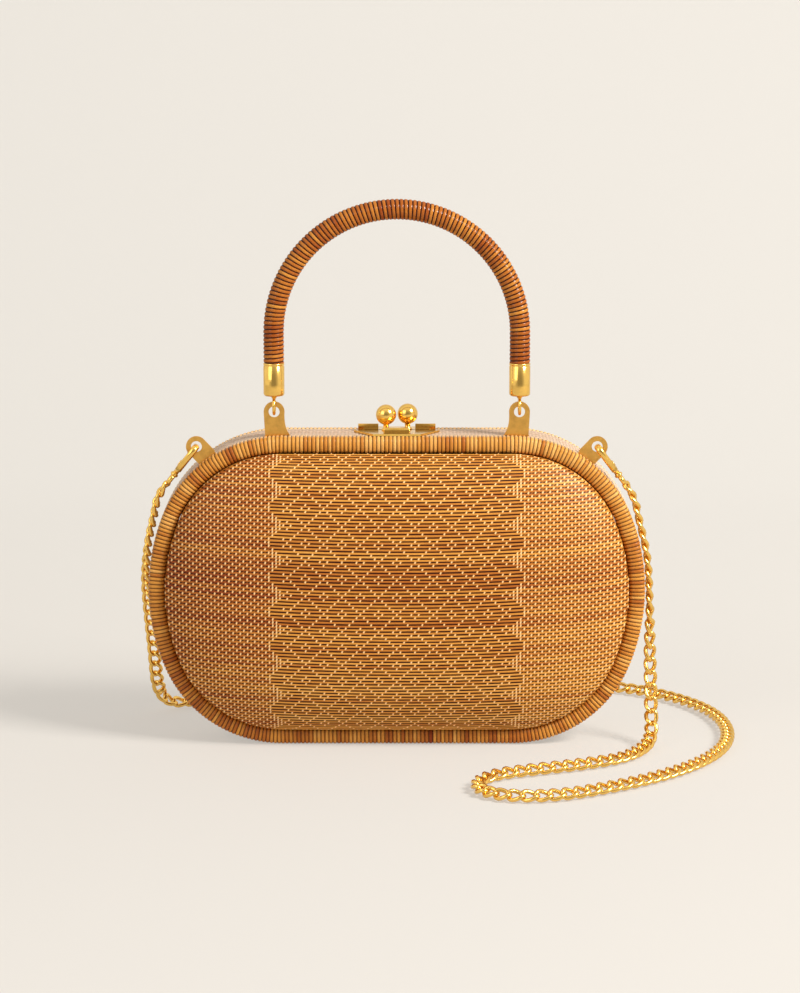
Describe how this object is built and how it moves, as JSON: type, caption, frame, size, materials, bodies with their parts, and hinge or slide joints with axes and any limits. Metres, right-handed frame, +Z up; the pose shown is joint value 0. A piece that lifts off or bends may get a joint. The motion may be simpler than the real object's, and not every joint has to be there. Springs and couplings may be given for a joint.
{
  "type": "basket box bag",
  "caption": "Hard woven-reed box handbag: domed halves hinged at the bottom, reed-wrapped rims and arched handle, ball clasp and a clip-on chain strap.",
  "frame": {"origin": "on the floor under the middle of the seam between the two halves", "axes": "+X to the bag's right as seen from the front, +Y to the back half, +Z up"},
  "size_m": [0.286, 0.2387, 0.2588],
  "materials": {
    "reed_panel": "woven reed, varnished",
    "reed_rim": "wrapped reed, glossy",
    "reed_band": "woven reed, varnished",
    "reed_handle": "wrapped reed, glossy",
    "lining": "plain woven cotton",
    "brass": "polished"
  },
  "bodies": {
    "front_shell": {"front_panel": "reed_panel", "front_rim": "reed_rim", "front_band": "reed_band", "front_lining": "lining", "handle_tab_left": "brass", "handle_tab_right": "brass", "chain_tab_left": "brass", "chain_tab_right": "brass", "clasp_front_plate": "brass", "clasp_front_ball": "brass", "hinge_front_leaf": "brass", "hinge_pin": "brass", "clip_left_hook": "brass", "clip_right_hook": "brass", "clip_left_swivel": "brass", "clip_right_swivel": "brass", "chain_strap": "brass"},
    "back_shell": {"back_panel": "reed_panel", "back_rim": "reed_rim", "back_band": "reed_band", "back_lining": "lining", "clasp_back_plate": "brass", "clasp_back_ball": "brass", "hinge_back_leaf": "brass"},
    "handle": {"handle_grip": "reed_handle", "ferrule_left": "brass", "ferrule_right": "brass", "eye_left": "brass", "eye_right": "brass"},
    "left_gate": {"clip_left_gate": "brass"},
    "right_gate": {"clip_right_gate": "brass"}
  },
  "joints": [
    {"name": "shell_hinge", "type": "hinge", "parent": "front_shell", "child": "back_shell", "pos_m": [0, 0, 0.0015], "axis": [-1, 0, 0], "range_deg": [0, 55]},
    {"name": "handle_swing", "type": "hinge", "parent": "front_shell", "child": "handle", "pos_m": [0, -0.0104, 0.16165], "axis": [1, 0, 0], "range_deg": [-100, 120]},
    {"name": "left_gate_hinge", "type": "hinge", "parent": "front_shell", "child": "left_gate", "pos_m": [-0.10148, -0.00675, 0.13344], "axis": [0.7826, 0, -0.6225], "range_deg": [0, 20], "stiffness_Nm_per_rad": 0.02},
    {"name": "right_gate_hinge", "type": "hinge", "parent": "front_shell", "child": "right_gate", "pos_m": [0.10124, -0.00675, 0.13325], "axis": [0.7986, 0, 0.6018], "range_deg": [0, 20], "stiffness_Nm_per_rad": 0.02}
  ]
}
